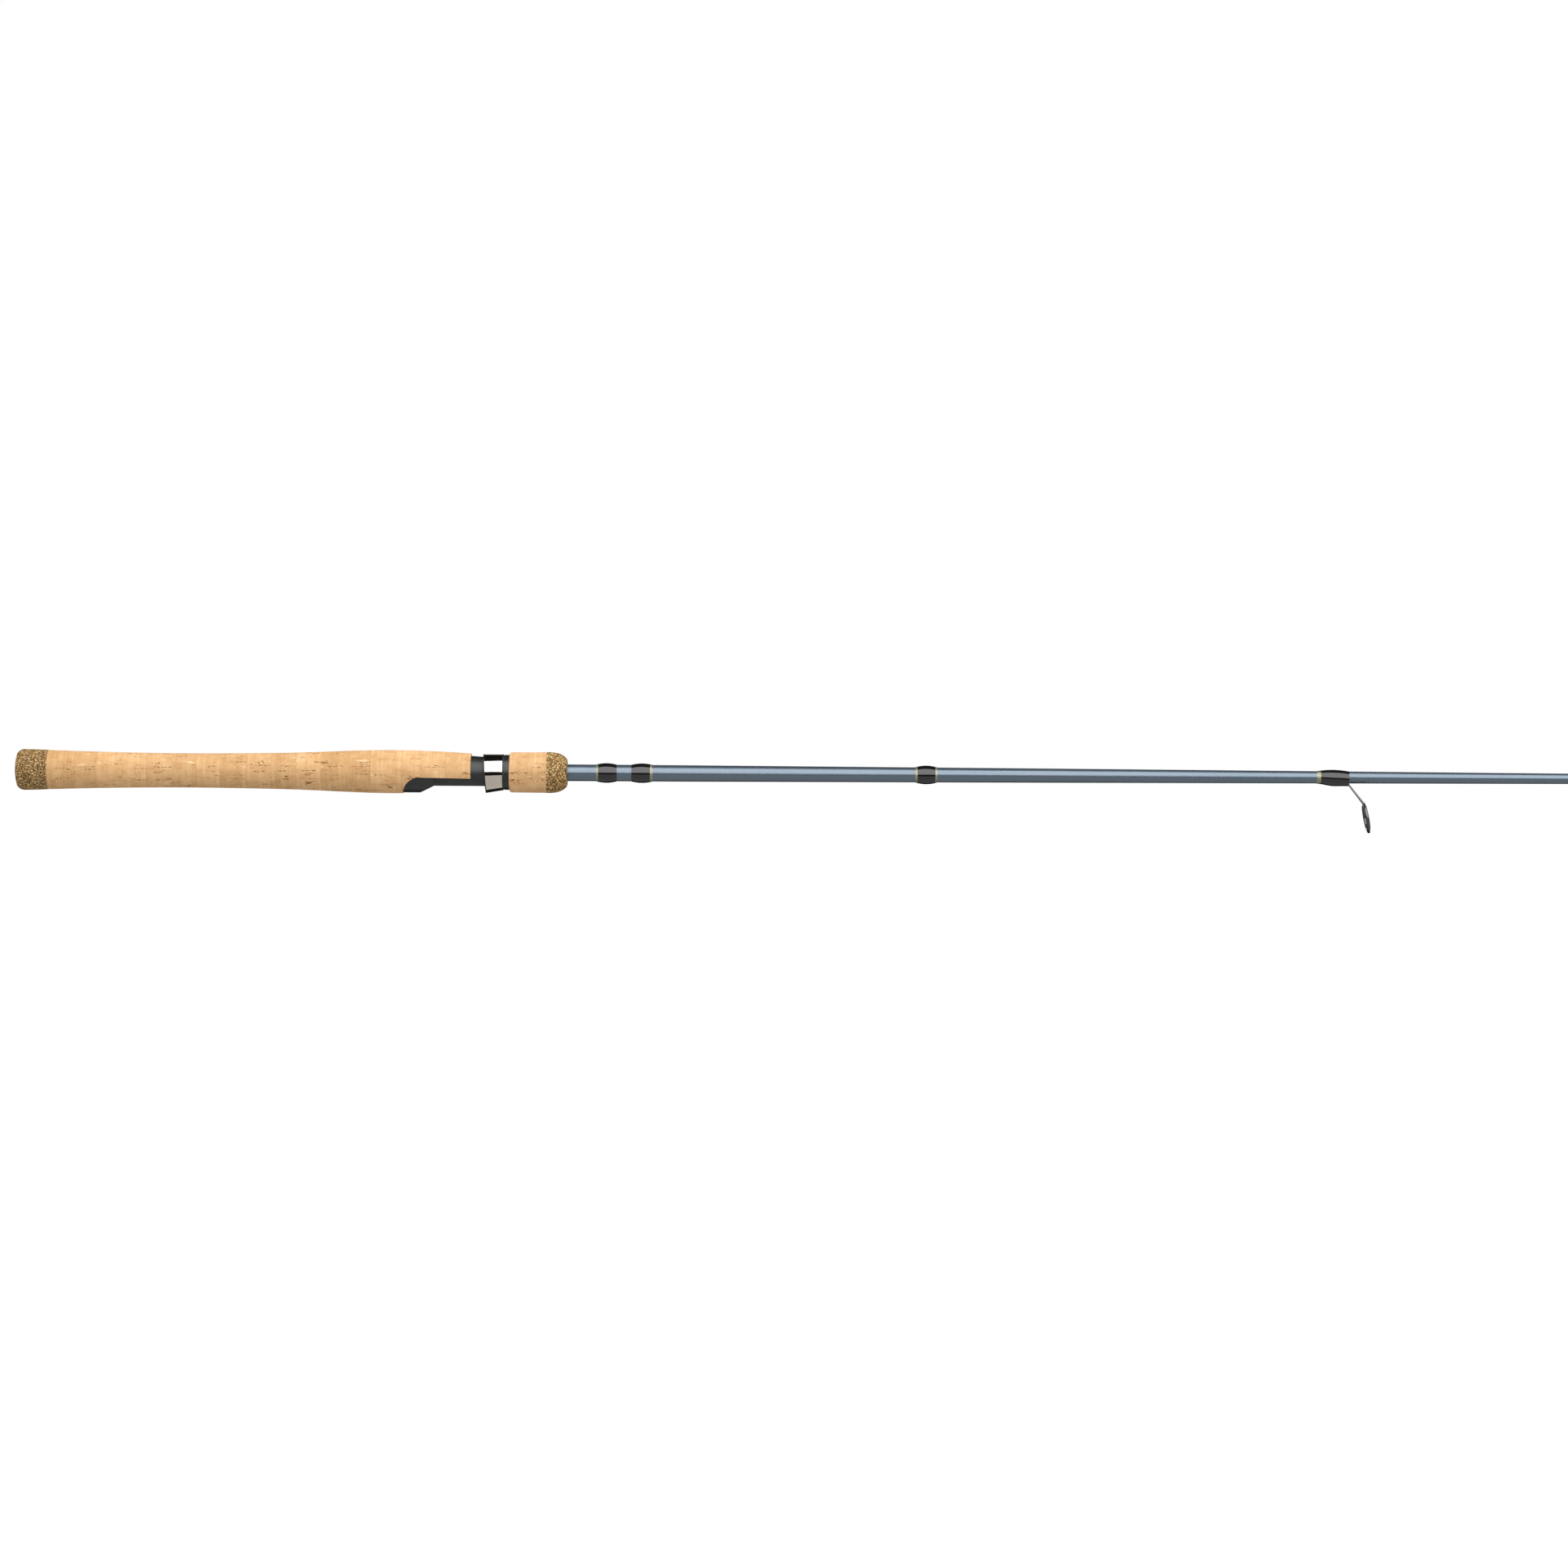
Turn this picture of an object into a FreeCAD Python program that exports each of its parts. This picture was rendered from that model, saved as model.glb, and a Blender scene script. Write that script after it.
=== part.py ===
# Two-piece spinning rod, 2.13 m (7 ft), with a cork grip, a screw-locking foregrip
# and single-foot guides.
# Millimetres. X runs along the rod from the butt (0) to the tip, +Z is up, the guides
# hang on the -Z side and the rod's axis is the line Y = 0, Z = 0.
import FreeCAD
import Part
import math
import os

V = FreeCAD.Vector
ORIGIN = V(0, 0, 0)
X_AXIS = V(1, 0, 0)
Y_AXIS = V(0, 1, 0)

# ---- driving dimensions -------------------------------------------------------------
ROD_LENGTH = 2134.0
BUTT_SECTION_END = 1092.0
TIP_SECTION_START = 1042.0
FERRULE_CLEARANCE = 0.05

# blank: (station, outer radius) and wall thickness
BUTT_BLANK = [(8.0, 6.05), (368.0, 5.53), (438.0, 5.47), (692.0, 4.72), (1016.0, 3.5),
              (BUTT_SECTION_END, 3.2)]
BUTT_WALL = 1.15
TIP_BLANK = [(TIP_SECTION_START, 4.2), (1100.0, 3.65), (1600.0, 2.2), (ROD_LENGTH, 0.95)]
TIP_WALL = 0.75

# grips
CAP_LENGTH = 21.9
CAP_RADIUS = 13.5
CAP_SOCKET = 8.0
GRIP_END = 301.5
GRIP_OUTLINE = [(21.9, 13.0), (49.0, 12.18), (92.0, 11.45), (127.0, 11.38), (161.0, 11.75),
                (187.0, 12.25), (222.0, 13.66), (245.0, 14.24), (266.0, 14.02), (301.5, 12.35)]
GRIP_RING_COUNT = 17
FORE_START = 326.7
FORE_CORK_END = 351.5
FORE_NOSE = 365.0
FORE_RADIUS = 13.3
FORE_BORE = 6.7

# reel seat
SEAT_START = 252.0
SEAT_RADIUS = 10.8
SEAT_BORE = 6.6
BED_DEPTH = 9.2
HOOD_REAR = 256.6
HOOD_LIP = 267.3
HOOD_MOUTH = 276.5
HOOD_DEPTH = 13.7
COLLAR_END = 309.4
BARREL_RADIUS = 10.2
BARREL_END = 317.0
THREAD_START = 318.4
SEAT_END = 351.0
THREAD_PITCH = 2.0
THREAD_ROOT = 7.95
THREAD_CREST = 8.8
THREAD_CLEARANCE = 0.15
KEY_WIDTH = 2.7
SLOT_WIDTH = 3.0

# sliding hood and the nut inside the foregrip
SLIDER_FRONT = 309.4
SLIDER_REAR = 322.9
SLIDER_BORE = 10.5
BAND_THICKNESS = 0.45
WASHER_END = 323.4
NUT_FRONT = 318.5
NUT_FLANGE = 323.45
NUT_FLANGE_RADIUS = 11.6
NUT_BODY_RADIUS = 10.4
NUT_THREAD_START = 322.0
NUT_END = 342.0
# snap neck: the hood's inner lip turns freely in this groove of the nut
NECK_START = 320.07
NECK_END = 321.93
NECK_RADIUS = 9.6
NECK_SHOULDER = 10.42
NECK_PLAY = 0.08

# bushings between the seat and the thinner blank: where each starts, and their length
ARBOR_STARTS = (256.0, 296.0, 335.0)
ARBOR_LENGTH = 14.0

# decorative wraps: start, end, height of the swelling, width of the trim band at the butt
# end and at the tip end (0 for none); every wrap is WRAP_EDGE thick where it ends
FORE_WRAP_1 = (384.1, 397.7, 0.97, 1.3, 0.0)
FORE_WRAP_2 = (407.4, 421.4, 0.94, 0.0, 1.7)
MID_WRAP = (595.0, 609.6, 1.15, 1.5, 1.3)
FERRULE_WRAP = (1043.0, 1064.0, 0.75, 2.0, 2.0)
TIP_TOP_WRAP = (2112.0, 2121.95, 0.5, 1.2, 0.0)
WRAP_EDGE = 0.08

# guides: ring centre station, ring outer radius, depth of the ring centre below the axis,
# foot length under the wrap
GUIDES = [(893.4, 10.4, 26.6, 19.5),
          (1194.0, 7.4, 18.6, 15.0),
          (1410.0, 5.4, 13.4, 12.5),
          (1588.0, 4.2, 10.2, 11.0),
          (1740.0, 4.0, 8.9, 10.5),
          (1880.0, 3.9, 8.2, 10.0),
          (2007.0, 3.8, 7.6, 10.0)]
GUIDE_LEAN = 10.5
LEG_SLOPE = 51.5
WINDOW_LEAST_RADIUS = 5.0

# tip-top: outer radius and depth of its ring, how far beyond the rod's end the ring
# centre is, and the length of the tube over the blank
TIP_TOP_RADIUS = 3.9
TIP_TOP_DEPTH = 3.1
TIP_TOP_REACH = 2.2
TIP_TOP_TUBE = 12.0
TIP_TOP_TUBE_RADIUS = 1.55


# ---- helpers ------------------------------------------------------------------------
def on_line(stations, x):
    """Radius at station x of an outline given as (station, radius) pairs."""
    for (x0, r0), (x1, r1) in zip(stations, stations[1:]):
        if x <= x1:
            return r0 + (r1 - r0) * (x - x0) / (x1 - x0)
    return stations[-1][1]


def spin(edges):
    """Solid of revolution about the rod's axis from a closed chain of edges."""
    face = Part.Face(Part.Wire(edges))
    return face.revolve(ORIGIN, X_AXIS, 360)


def line(p, q):
    return Part.makeLine(V(p[0], 0, p[1]), V(q[0], 0, q[1]))


def arc(p, m, q):
    return Part.Arc(V(p[0], 0, p[1]), V(m[0], 0, m[1]), V(q[0], 0, q[1])).toShape()


def spin_outline(points):
    """Solid of revolution from (station, radius) corners joined by straight lines."""
    loop = points + [points[0]]
    return spin([line(p, q) for p, q in zip(loop, loop[1:])])


def rod(x0, x1, radius):
    return Part.makeCylinder(radius, x1 - x0, V(x0, 0, 0), X_AXIS)


def tube(x0, x1, outer, inner):
    return rod(x0, x1, outer).cut(rod(x0 - 1, x1 + 1, inner))


def box(x0, x1, y0, y1, z0, z1):
    return Part.makeBox(x1 - x0, y1 - y0, z1 - z0, V(x0, y0, z0))


def slab(x0, x1):
    return box(x0, x1, -60, 60, -80, 60)


def solid_blank(stations, extra=0.0):
    """The space a blank fills, with no bore."""
    points = [(x, r + extra) for x, r in stations]
    return spin_outline([(points[0][0], 0.0)] + points + [(points[-1][0], 0.0)])


def hollow_blank(stations, wall, smallest):
    """A tapered tube; the bore never gets smaller than the given radius."""
    inner = [(x, max(smallest, r - wall)) for x, r in stations]
    return spin_outline(stations + inner[::-1])


def helical_ridge(x0, x1, r0, r1, w0, w1):
    """Thread ridge of trapezoid section wound round the axis, w0 wide at r0 and w1 at r1."""
    path = Part.Wire(Part.makeHelix(THREAD_PITCH, x1 - x0, r0).Edges)
    corners = [V(r0, 0, -w0 / 2), V(r1, 0, -w1 / 2), V(r1, 0, w1 / 2), V(r0, 0, w0 / 2)]
    section = Part.makePolygon(corners + corners[:1])
    ridge = path.makePipeShell([section], True, True)
    ridge.rotate(ORIGIN, Y_AXIS, 90)
    ridge.translate(V(x0, 0, 0))
    return ridge


def ridge_width(radius):
    """Axial width of the male thread at a radius."""
    return 1.30 - 0.8235 * (radius - THREAD_ROOT)


def half_oval(x, width, height):
    """Upper (height > 0) or lower half of an ellipse across the rod at station x."""
    points = []
    for step in range(9):
        a = math.pi * step / 8
        points.append(V(x, width * math.cos(a), height * math.sin(a)))
    curve = Part.BSplineCurve()
    curve.interpolate(points)
    return curve.toShape()


def oval_loft(x0, x1, first, last):
    """Loft between two ovals across the rod, each (half width, height above, depth below)."""
    wires = []
    for x, (width, above, below) in ((x0, first), (x1, last)):
        upper = half_oval(x, width, above)
        lower = half_oval(x, width, -below)
        wires.append(Part.Wire([upper, lower]))
    return Part.makeLoft(wires, True, True)


def make_wrap(wrap, stations):
    """A wrap of thread under its finish, swelling in one low curve; its thread and trim bands."""
    start, end, height, butt_trim, tip_trim = wrap
    r0 = on_line(stations, start) + WRAP_EDGE
    r1 = on_line(stations, end) + WRAP_EDGE
    crown = arc((start, r0), (0.5 * (start + end), 0.5 * (r0 + r1) + height), (end, r1))
    base = [line((end, r1), (end, 0)), line((end, 0), (start, 0)), line((start, 0), (start, r0))]
    whole = spin([crown] + base).cut(solid_blank(stations))
    thread = whole.common(slab(start + butt_trim, end - tip_trim))
    trims = []
    if butt_trim > 0:
        trims.append(whole.common(slab(start - 1, start + butt_trim)))
    if tip_trim > 0:
        trims.append(whole.common(slab(end - tip_trim, end + 1)))
    return thread, trims


def save(name, shape):
    solids = shape.Solids
    valid = all(s.isValid() for s in solids)
    print(name, len(solids), "solids", "ok" if valid else "INVALID", round(shape.Volume, 1))
    shape.exportStep(f"parts/{name}.step")


def save_group(name, shapes):
    save(name, Part.makeCompound(shapes))


# ---- butt section -------------------------------------------------------------------
def make_butt_cap():
    """Rubberised cork cap: domed end, rounded corner, blind hole for the end of the blank."""
    mouth = on_line(BUTT_BLANK, CAP_LENGTH)
    rim = GRIP_OUTLINE[0][1]
    outer = [arc((0, 0), (0.45, 6.0), (1.6, CAP_RADIUS - 2.4)),
             arc((1.6, CAP_RADIUS - 2.4), (3.1, CAP_RADIUS - 0.9), (6.5, CAP_RADIUS)),
             arc((6.5, CAP_RADIUS), (13.5, CAP_RADIUS - 0.12), (CAP_LENGTH, rim))]
    inner = [line((CAP_LENGTH, rim), (CAP_LENGTH, mouth)),
             line((CAP_LENGTH, mouth), (CAP_SOCKET, BUTT_BLANK[0][1])),
             line((CAP_SOCKET, BUTT_BLANK[0][1]), (CAP_SOCKET, 0)),
             line((CAP_SOCKET, 0), (0, 0))]
    return spin(outer + inner)


def make_cutout():
    """Opening under the rear grip that bares the fixed hood and the bed for the reel's foot."""
    rear, roof = (HOOD_REAR, -14.6), (269.0, -3.9)
    far = GRIP_END + 1
    edges = [line((HOOD_REAR, -30), rear),
             arc(rear, (259.7, -7.4), roof),
             line(roof, (far, -4.4)),
             line((far, -4.4), (far, -30)),
             line((far, -30), (HOOD_REAR, -30))]
    face = Part.Face(Part.Wire(edges))
    face.translate(V(0, -40, 0))
    return face.extrude(V(0, 80, 0))


def make_fixed_hood():
    """Outside of the fixed hood; its mouth slants from the lower lip up to the bed."""
    section = (12.6, 10.0, HOOD_DEPTH)
    hood = oval_loft(HOOD_REAR, HOOD_MOUTH + 2, section, section)
    hood = hood.cut(box(240, 290, -30, 30, -2.0, 30))
    corners = [V(HOOD_LIP, -30, -HOOD_DEPTH - 0.2), V(HOOD_MOUTH, -30, -BED_DEPTH + 0.1),
               V(HOOD_MOUTH + 2, -30, 0), V(HOOD_MOUTH + 20, -30, 0),
               V(HOOD_MOUTH + 20, -30, -20), V(HOOD_LIP, -30, -20)]
    slant = Part.Face(Part.makePolygon(corners + corners[:1]))
    return hood.cut(slant.extrude(V(0, 60, 0)))


def make_seat_space():
    """What the cork is bored out for: the seat's tube and the fixed hood."""
    return rod(SEAT_START, GRIP_END + 1, SEAT_RADIUS).fuse(make_fixed_hood())


def make_grip_rings(blank_space, seat_space):
    """Cork rings glued end to end over the blank and the seat, then turned to one outline."""
    points = [V(x, 0, r) for x, r in GRIP_OUTLINE]
    curve = Part.BSplineCurve()
    curve.interpolate(points)
    first, last = GRIP_OUTLINE[0], GRIP_OUTLINE[-1]
    edges = [curve.toShape(), line(last, (last[0], 0)), line((last[0], 0), (first[0], 0)),
             line((first[0], 0), first)]
    grip = spin(edges)
    grip = grip.cut(blank_space).cut(seat_space).cut(make_cutout())
    pitch = (GRIP_END - CAP_LENGTH) / GRIP_RING_COUNT
    rings = []
    for i in range(GRIP_RING_COUNT):
        start = CAP_LENGTH + i * pitch
        rings += grip.common(slab(start, start + pitch)).Solids
    return rings


def make_reel_seat():
    """Moulded seat: tube with fixed hood, flat bed, collar, barrel, male thread and key slot."""
    body = spin_outline([(SEAT_START, 0), (SEAT_START, SEAT_RADIUS), (GRIP_END, SEAT_RADIUS),
                         (COLLAR_END, 10.3), (COLLAR_END, BARREL_RADIUS), (BARREL_END, BARREL_RADIUS),
                         (BARREL_END, THREAD_ROOT), (SEAT_END, THREAD_ROOT), (SEAT_END, 0)])
    body = body.cut(box(HOOD_REAR, BARREL_END + 0.1, -30, 30, -30, -BED_DEPTH))
    hood = make_fixed_hood().cut(rod(240, 290, SEAT_RADIUS - 0.6))
    body = body.fuse(hood)
    pocket = oval_loft(HOOD_REAR + 2.2, HOOD_MOUTH + 4, (10.9, 9, 11.2), (11.4, 9, 12.6))
    pocket = pocket.cut(box(240, 290, -30, 30, -BED_DEPTH, 30))
    body = body.cut(pocket)
    ridge = helical_ridge(THREAD_START, SEAT_END - 1.5, THREAD_ROOT - 0.1, THREAD_CREST,
                          ridge_width(THREAD_ROOT - 0.1), ridge_width(THREAD_CREST))
    body = body.fuse(ridge)
    body = body.cut(box(310.6, SEAT_END + 1, -SLOT_WIDTH / 2, SLOT_WIDTH / 2, 7.3, 14))
    return body.cut(rod(SEAT_START - 1, SEAT_END + 1, SEAT_BORE))


def make_seat_arbors(blank_space):
    """Three bushings that centre the seat on the thinner blank."""
    return [rod(x, x + ARBOR_LENGTH, SEAT_BORE).cut(blank_space) for x in ARBOR_STARTS]


# ---- sliding hood and foregrip ------------------------------------------------------
def slider_space(inset):
    """Outer shape of the sliding hood, made smaller all round by the inset."""
    mouth = (13.1 - inset, 12.0 - inset, 14.05 - inset)
    rear = (12.0 - inset, 12.0 - inset, 11.85 - inset)
    return oval_loft(SLIDER_FRONT, SLIDER_REAR, mouth, rear)


def behind_slant(offset):
    """Everything on the tip side of the hood's slanted mouth, moved along by the offset."""
    x_top, x_low = SLIDER_FRONT + offset, SLIDER_FRONT + 2.0 + offset
    corners = [V(x_top, -30, 14), V(x_low, -30, -16), V(SLIDER_REAR + 10, -30, -16),
               V(SLIDER_REAR + 10, -30, 14)]
    return Part.Face(Part.makePolygon(corners + corners[:1])).extrude(V(0, 60, 0))


def make_hood_band():
    """Polished metal sleeve let into the outside of the sliding hood."""
    band = slider_space(0).cut(slider_space(BAND_THICKNESS))
    band = band.common(behind_slant(0.75))
    return band.common(slab(SLIDER_FRONT, SLIDER_REAR - 0.6))


def make_sliding_hood(band):
    """Hood that clamps the front end of the reel's foot; its key rides in the seat's slot."""
    shell = slider_space(0).common(behind_slant(0)).cut(band)
    shell = shell.cut(rod(SLIDER_FRONT - 1, NECK_START + NECK_PLAY, SLIDER_BORE))
    shell = shell.cut(rod(NECK_START - NECK_PLAY, NECK_END + NECK_PLAY, NECK_RADIUS + NECK_PLAY))
    shell = shell.cut(rod(NECK_END - NECK_PLAY, SLIDER_REAR + 1, SLIDER_BORE))
    pocket = oval_loft(SLIDER_FRONT - 1, 318.3, (11.7, 9, 12.9), (10.8, 9, 10.9))
    pocket = pocket.cut(box(300, 330, -30, 30, 0, 30))
    shell = shell.cut(pocket)
    key = box(311.6, 317.6, -KEY_WIDTH / 2, KEY_WIDTH / 2, 7.6, SLIDER_BORE + 0.5)
    return shell.fuse(key)


def make_hood_washer():
    return tube(SLIDER_REAR, WASHER_END, 11.3, SLIDER_BORE + 0.1)


def make_lock_nut():
    """Nut glued into the foregrip: snap neck held in the hood, flange, female thread."""
    body = spin_outline([(NUT_FRONT, 0), (NUT_FRONT, NECK_SHOULDER), (NECK_START, NECK_SHOULDER),
                         (NECK_START, NECK_RADIUS), (NECK_END, NECK_RADIUS),
                         (NECK_END, NECK_SHOULDER), (NUT_FLANGE, NECK_SHOULDER),
                         (NUT_FLANGE, NUT_FLANGE_RADIUS), (FORE_START, NUT_FLANGE_RADIUS),
                         (FORE_START, NUT_BODY_RADIUS), (NUT_END, NUT_BODY_RADIUS), (NUT_END, 0)])
    body = body.cut(rod(NUT_FRONT - 1, NUT_THREAD_START, THREAD_CREST + 0.2))
    r0 = THREAD_ROOT - 0.05
    r1 = THREAD_CREST + THREAD_CLEARANCE
    start = NUT_THREAD_START - 3.6
    turns_end = NUT_END + 2.0
    tap = rod(start - 1, turns_end + 1, THREAD_ROOT + THREAD_CLEARANCE)
    tap = tap.fuse(helical_ridge(start, turns_end, r0, r1,
                                 ridge_width(r0) + 0.2, ridge_width(r1) + 0.2))
    return body.cut(tap)


def make_fore_rings():
    """Two cork rings of the foregrip, the rear one with a rounded edge."""
    edges = [line((FORE_START, 0), (FORE_START, FORE_RADIUS - 1.9)),
             arc((FORE_START, FORE_RADIUS - 1.9), (FORE_START + 0.55, FORE_RADIUS - 0.55),
                 (FORE_START + 1.9, FORE_RADIUS)),
             line((FORE_START + 1.9, FORE_RADIUS), (FORE_CORK_END, FORE_RADIUS + 0.15)),
             line((FORE_CORK_END, FORE_RADIUS + 0.15), (FORE_CORK_END, 0)),
             line((FORE_CORK_END, 0), (FORE_START, 0))]
    grip = spin(edges)
    grip = grip.cut(rod(FORE_START - 1, NUT_END, NUT_BODY_RADIUS))
    grip = grip.cut(rod(NUT_END, FORE_CORK_END + 1, THREAD_CREST + 0.6))
    middle = 0.5 * (FORE_START + FORE_CORK_END)
    return [grip.common(slab(FORE_START, middle)), grip.common(slab(middle, FORE_CORK_END))]


def make_fore_cap():
    """Rubberised cork nose of the foregrip, domed, with a hole clear of the blank."""
    rim = FORE_RADIUS + 0.15
    edges = [line((FORE_CORK_END, FORE_BORE), (FORE_CORK_END, rim)),
             arc((FORE_CORK_END, rim), (354.0, rim + 0.08), (357.0, rim - 0.25)),
             arc((357.0, rim - 0.25), (361.3, rim - 1.5), (363.9, 10.1)),
             arc((363.9, 10.1), (364.9, 8.6), (FORE_NOSE, 7.6)),
             line((FORE_NOSE, 7.6), (FORE_NOSE - 0.8, FORE_BORE)),
             line((FORE_NOSE - 0.8, FORE_BORE), (FORE_CORK_END, FORE_BORE))]
    cap = spin(edges)
    return cap.cut(rod(FORE_CORK_END - 1, FORE_CORK_END + 2.5, THREAD_CREST + 0.6))


# ---- guides -------------------------------------------------------------------------
def lean(shape, x, z):
    """Turn a ring made round the axis at the origin to its lean and carry it to its place."""
    shape.rotate(ORIGIN, Y_AXIS, -GUIDE_LEAN)
    shape.translate(V(x, 0, z))
    return shape


def ceramic_ring(middle_radius, half_width, half_length):
    """Ring insert: a short straight land inside, rounded on both faces."""
    inner, outer = middle_radius - half_width, middle_radius + half_width
    land = 0.4 * half_length
    return spin([line((-land, inner), (land, inner)),
                 arc((land, inner), (half_length, middle_radius), (land, outer)),
                 line((land, outer), (-land, outer)),
                 arc((-land, outer), (-half_length, middle_radius), (-land, inner))])


def cross_strip(x, z, width, thickness, angle):
    """Rectangle across a leg: wide along Y, thin square to the leg's slope."""
    dx = 0.5 * thickness * math.sin(angle)
    dz = 0.5 * thickness * math.cos(angle)
    corners = [V(x - dx, -width / 2, z - dz), V(x - dx, width / 2, z - dz),
               V(x + dx, width / 2, z + dz), V(x + dx, -width / 2, z + dz)]
    return Part.makePolygon(corners + corners[:1])


def make_guide(x, radius, depth, foot, stations):
    """Frame with foot, bent leg and ring plate; ceramic ring; wrap; trim band."""
    scale = radius / GUIDES[0][1]
    plate = 0.75 + 0.35 * scale
    strip = 0.62 + 0.33 * scale
    half_width = 0.55 + 0.4 * scale
    middle = radius - 1.0 - 1.15 * scale
    insert = lean(ceramic_ring(middle, half_width, 0.7 + 0.45 * scale), x, -depth)
    ring_plate = lean(tube(-plate / 2, plate / 2, radius, middle + 0.15), x, -depth)
    # the leg starts where the foot leaves the wrap and meets the top of the ring plate
    tilt = math.radians(GUIDE_LEAN)
    reach = radius - 0.5 - 0.45 * scale
    top_x = x - reach * math.sin(tilt)
    top_z = -depth + reach * math.cos(tilt)
    slope = math.radians(LEG_SLOPE)
    blank_radius = on_line(stations, x)
    foot_z = -(blank_radius + 0.08 + strip / 2)
    bend_x = top_x - (foot_z - top_z) / math.tan(slope)
    low, high = 2.4 + 1.0 * scale, 3.6 + 4.6 * scale
    leg = Part.makeLoft([cross_strip(bend_x, foot_z, low, strip, slope),
                         cross_strip(top_x, top_z, high, strip, slope)], True, True)
    if radius > WINDOW_LEAST_RADIUS:
        # open window between the two struts of a large frame
        x_low = bend_x + (top_x - bend_x) * 0.36
        z_low = foot_z + (top_z - foot_z) * 0.36
        x_high = bend_x + (top_x - bend_x) * 0.92
        z_high = foot_z + (top_z - foot_z) * 0.92
        window = Part.makeLoft([cross_strip(x_low, z_low, low * 0.16, 6.0, slope),
                                cross_strip(x_high, z_high, high - 2.4 * scale - 1.0, 6.0, slope)],
                               True, True)
        leg = leg.cut(window)
    foot_start = bend_x - foot
    r_start = on_line(stations, foot_start)
    ramp_end = foot_start + 0.6 * foot
    outline = [V(foot_start, 0, -r_start - 0.06), V(bend_x + 0.3, 0, foot_z + strip / 2),
               V(bend_x + 0.3, 0, foot_z - strip / 2), V(ramp_end, 0, foot_z - strip / 2),
               V(foot_start, 0, -r_start - 0.2)]
    foot_width = 0.75 * low
    foot_plate = Part.Face(Part.makePolygon(outline + outline[:1])).extrude(V(0, foot_width, 0))
    foot_plate.translate(V(0, -foot_width / 2, 0))
    frame = foot_plate.fuse([leg, ring_plate]).cut(insert)
    # the wrap covers the foot: one low curve above, and below it stays full as far as the leg
    start, end = foot_start - 1.6, bend_x + 0.2
    build = 0.55 + 0.45 * scale
    wires = []
    for t in (0.0, 0.08, 0.25, 0.5, 0.75, 0.93, 1.0):
        s = start + t * (end - start)
        r = on_line(stations, s)
        rise = min(1.0, 2 * t)
        above = WRAP_EDGE + 3.7 * build * t * (1 - t)
        below = max(above, WRAP_EDGE + (strip + 0.75 * build) * rise * rise * (3 - 2 * rise))
        circle = Part.makeCircle(r + 0.5 * (above + below), V(s, 0, 0.5 * (above - below)), X_AXIS)
        wires.append(Part.Wire([circle]))
    wrap = Part.makeLoft(wires, True, False).cut(solid_blank(stations)).cut(frame)
    trim_end = start + 0.9 + 1.8 * scale
    trim = wrap.common(slab(start - 1, trim_end))
    thread = max(wrap.common(slab(trim_end, end + 1)).Solids, key=lambda piece: piece.Volume)
    return frame, insert, thread, trim


def make_tip_top():
    """Tip-top: tube over the end of the rod, two braces and a ring plate with its insert."""
    x, tube_start, tube_end = ROD_LENGTH + TIP_TOP_REACH, ROD_LENGTH - TIP_TOP_TUBE, ROD_LENGTH + 0.9
    insert = lean(ceramic_ring(TIP_TOP_RADIUS - 1.35, 0.68, 0.85), x, -TIP_TOP_DEPTH)
    plate = lean(tube(-0.5, 0.5, TIP_TOP_RADIUS, TIP_TOP_RADIUS - 1.2), x, -TIP_TOP_DEPTH)
    sleeve = tube(tube_start, tube_end, TIP_TOP_TUBE_RADIUS, 0.98)
    closing = rod(ROD_LENGTH + 0.05, tube_end, 1.2)
    neck = box(ROD_LENGTH + 0.3, ROD_LENGTH + 1.6, -0.7, 0.7, -0.6, 0.6)
    frame = sleeve.fuse([closing, neck, plate])
    for side in (-1, 1):
        foot = V(tube_start + 2.0, side * 0.9, -1.2)
        brace = Part.makeCylinder(0.45, 13.6, foot, V(13.0, side * 2.3, -4.0))
        frame = frame.fuse(brace)
    frame = frame.cut(insert).cut(solid_blank(TIP_BLANK))
    thread, trims = make_wrap(TIP_TOP_WRAP, TIP_BLANK)
    return frame, insert, thread, trims[0]


# ---- build --------------------------------------------------------------------------
os.makedirs("parts", exist_ok=True)

butt_space = solid_blank(BUTT_BLANK)
save("butt_blank", hollow_blank(BUTT_BLANK, BUTT_WALL, 1.0))
save("butt_cap", make_butt_cap())
save_group("rear_grip_cork_rings", make_grip_rings(butt_space, make_seat_space()))
save("reel_seat", make_reel_seat())
save_group("seat_arbors", make_seat_arbors(butt_space))

hood_band = make_hood_band()
save("hood_band", hood_band)
save("sliding_hood", make_sliding_hood(hood_band))
save("hood_washer", make_hood_washer())
save("lock_nut", make_lock_nut())
save_group("foregrip_cork_rings", make_fore_rings())
save("foregrip_cap", make_fore_cap())

thread, trims = make_wrap(FORE_WRAP_1, BUTT_BLANK)
save("fore_wrap_1", thread)
save("fore_wrap_1_trim", trims[0])
thread, trims = make_wrap(FORE_WRAP_2, BUTT_BLANK)
save("fore_wrap_2", thread)
save("fore_wrap_2_trim", trims[0])
thread, trims = make_wrap(MID_WRAP, BUTT_BLANK)
save("mid_wrap", thread)
save_group("mid_wrap_trims", trims)

socket_space = solid_blank(BUTT_BLANK, FERRULE_CLEARANCE)
save("tip_blank", hollow_blank(TIP_BLANK, TIP_WALL, 0.3).cut(socket_space))
thread, trims = make_wrap(FERRULE_WRAP, TIP_BLANK)
save("ferrule_wrap", thread)
save_group("ferrule_wrap_trims", trims)

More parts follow.
